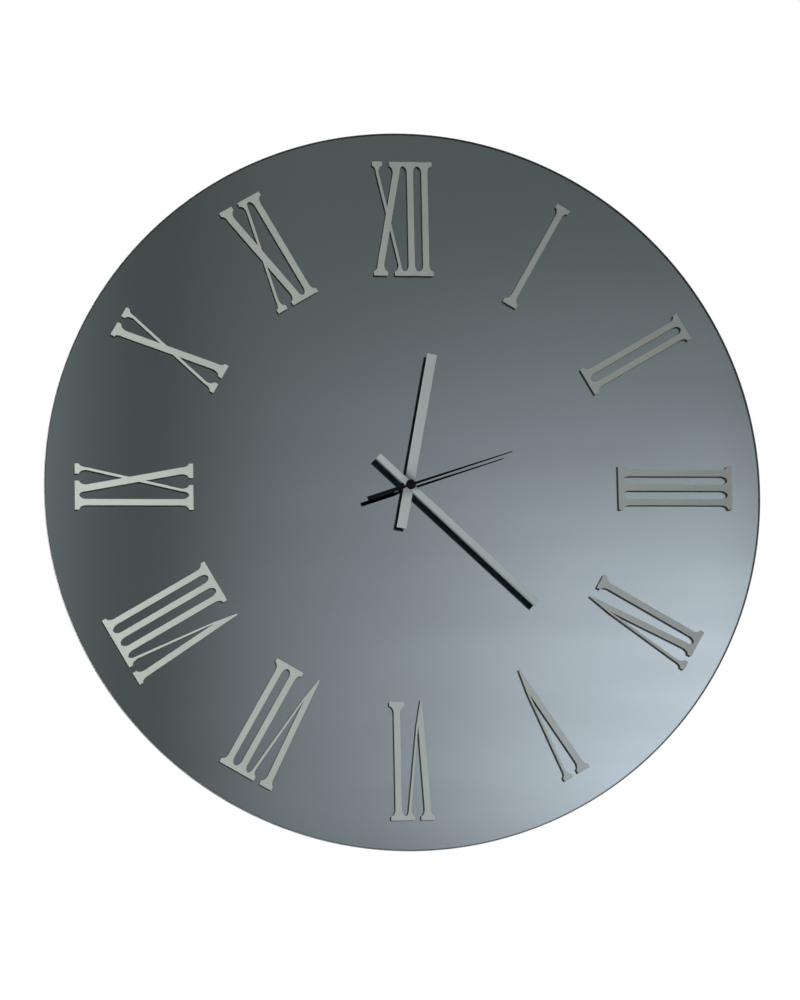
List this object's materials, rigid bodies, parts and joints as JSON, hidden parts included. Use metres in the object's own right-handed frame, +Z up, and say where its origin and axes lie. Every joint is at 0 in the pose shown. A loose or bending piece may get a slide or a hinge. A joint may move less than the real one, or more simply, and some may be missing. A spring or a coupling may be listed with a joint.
{
  "type": "mirror wall clock",
  "caption": "Round frameless smoked-mirror wall clock with raised Roman numerals, bar hands and a geared quartz movement behind the glass.",
  "frame": {"origin": "centre of the keyhole mouth, on the rear face of the hanger plate", "axes": "+Z up towards twelve, +X to the right seen from the front, the dial faces -Y and the wall is on the +Y side"},
  "size_m": [0.5999, 0.0433, 0.6],
  "materials": {
    "mirror": "polished smoked silvered glass",
    "numeral_paint": "satin silver-grey paint",
    "hand_paint": "satin silver-grey paint, dark back",
    "second_paint": "black paint",
    "cap_plastic": "black",
    "collet_plastic": "black",
    "board_fibre": "medium-density fibreboard",
    "foam_tape": "closed-cell foam tape",
    "bumper_rubber": "matt rubber",
    "hanger_steel": "zinc plated",
    "screw_steel": "yellow passivated",
    "case_plastic": "moulded, fine texture",
    "cover_plastic": "moulded, fine texture",
    "cell_sleeve": "plain printed sleeve without marks",
    "contact_steel": "nickel plated spring strip",
    "circuit_laminate": "solder resist",
    "chip_resin": "epoxy",
    "crystal_can": "drawn can",
    "stator_iron": "soft iron sheet",
    "bobbin_plastic": "natural",
    "winding_copper": "enamelled copper wire",
    "rotor_magnet": "sintered magnet",
    "gear_plastic": "acetal",
    "gear_brass": "turned",
    "knob_plastic": "fluted"
  },
  "bodies": {
    "clock": {"mirror_glass": "mirror", "numeral_i": "numeral_paint", "numeral_ii": "numeral_paint", "numeral_iii": "numeral_paint", "numeral_iv": "numeral_paint", "numeral_v": "numeral_paint", "numeral_vi": "numeral_paint", "numeral_vii": "numeral_paint", "numeral_viii": "numeral_paint", "numeral_ix": "numeral_paint", "numeral_x": "numeral_paint", "numeral_xi": "numeral_paint", "numeral_xii": "numeral_paint", "backing_board": "board_fibre", "mirror_tape": "foam_tape", "movement_pad": "foam_tape", "wall_bumpers": "bumper_rubber", "hanger_plate": "hanger_steel", "hanger_screws": "screw_steel", "movement_case": "case_plastic", "movement_cover": "cover_plastic", "battery_cell": "cell_sleeve", "contact_plus": "contact_steel", "contact_minus": "contact_steel", "circuit_board": "circuit_laminate", "clock_chip": "chip_resin", "quartz_crystal": "crystal_can", "stator": "stator_iron", "coil_core": "stator_iron", "coil_bobbin": "bobbin_plastic", "coil_winding": "winding_copper"},
    "minute": {"centre_wheel": "gear_brass", "cannon_pinion": "gear_brass", "minute_hand": "hand_paint", "minute_collet": "collet_plastic"},
    "hour": {"hour_wheel": "gear_plastic", "hour_hand": "hand_paint", "hour_collet": "collet_plastic"},
    "second": {"seconds_wheel": "gear_plastic", "second_hand": "second_paint", "second_cap": "cap_plastic"},
    "third": {"third_wheel": "gear_plastic"},
    "intermediate": {"intermediate_wheel": "gear_plastic"},
    "rotor": {"rotor": "rotor_magnet"},
    "motion": {"motion_wheel": "gear_plastic"},
    "knob": {"setting_knob": "knob_plastic"}
  },
  "joints": [
    {"name": "minute_spin", "type": "hinge", "parent": "clock", "child": "minute", "pos_m": [0, 0, -0.18], "axis": [0, 1, 0], "continuous": true},
    {"name": "hour_spin", "type": "hinge", "parent": "clock", "child": "hour", "pos_m": [0, 0, -0.18], "axis": [0, 1, 0], "continuous": true},
    {"name": "second_spin", "type": "hinge", "parent": "clock", "child": "second", "pos_m": [0, 0, -0.18], "axis": [0, 1, 0], "continuous": true},
    {"name": "third_spin", "type": "hinge", "parent": "clock", "child": "third", "pos_m": [-0.00974, 0, -0.17438], "axis": [0, 1, 0], "continuous": true},
    {"name": "intermediate_spin", "type": "hinge", "parent": "clock", "child": "intermediate", "pos_m": [0.00901, 0, -0.17244], "axis": [0, 1, 0], "continuous": true},
    {"name": "rotor_spin", "type": "hinge", "parent": "clock", "child": "rotor", "pos_m": [0.01205, 0, -0.16592], "axis": [0, 1, 0], "continuous": true},
    {"name": "motion_spin", "type": "hinge", "parent": "clock", "child": "motion", "pos_m": [0.00827, 0, -0.18146], "axis": [0, 1, 0], "continuous": true},
    {"name": "knob_spin", "type": "hinge", "parent": "clock", "child": "knob", "pos_m": [0.01664, 0, -0.18219], "axis": [0, 1, 0], "continuous": true}
  ],
  "couplings": [
    {"joint": "hour_spin", "follows": "minute_spin", "ratio": 0.083333},
    {"joint": "motion_spin", "follows": "minute_spin", "ratio": -0.33333},
    {"joint": "knob_spin", "follows": "minute_spin", "ratio": 1},
    {"joint": "third_spin", "follows": "minute_spin", "ratio": -7.5},
    {"joint": "second_spin", "follows": "minute_spin", "ratio": 60},
    {"joint": "intermediate_spin", "follows": "minute_spin", "ratio": -360},
    {"joint": "rotor_spin", "follows": "minute_spin", "ratio": 1800}
  ]
}
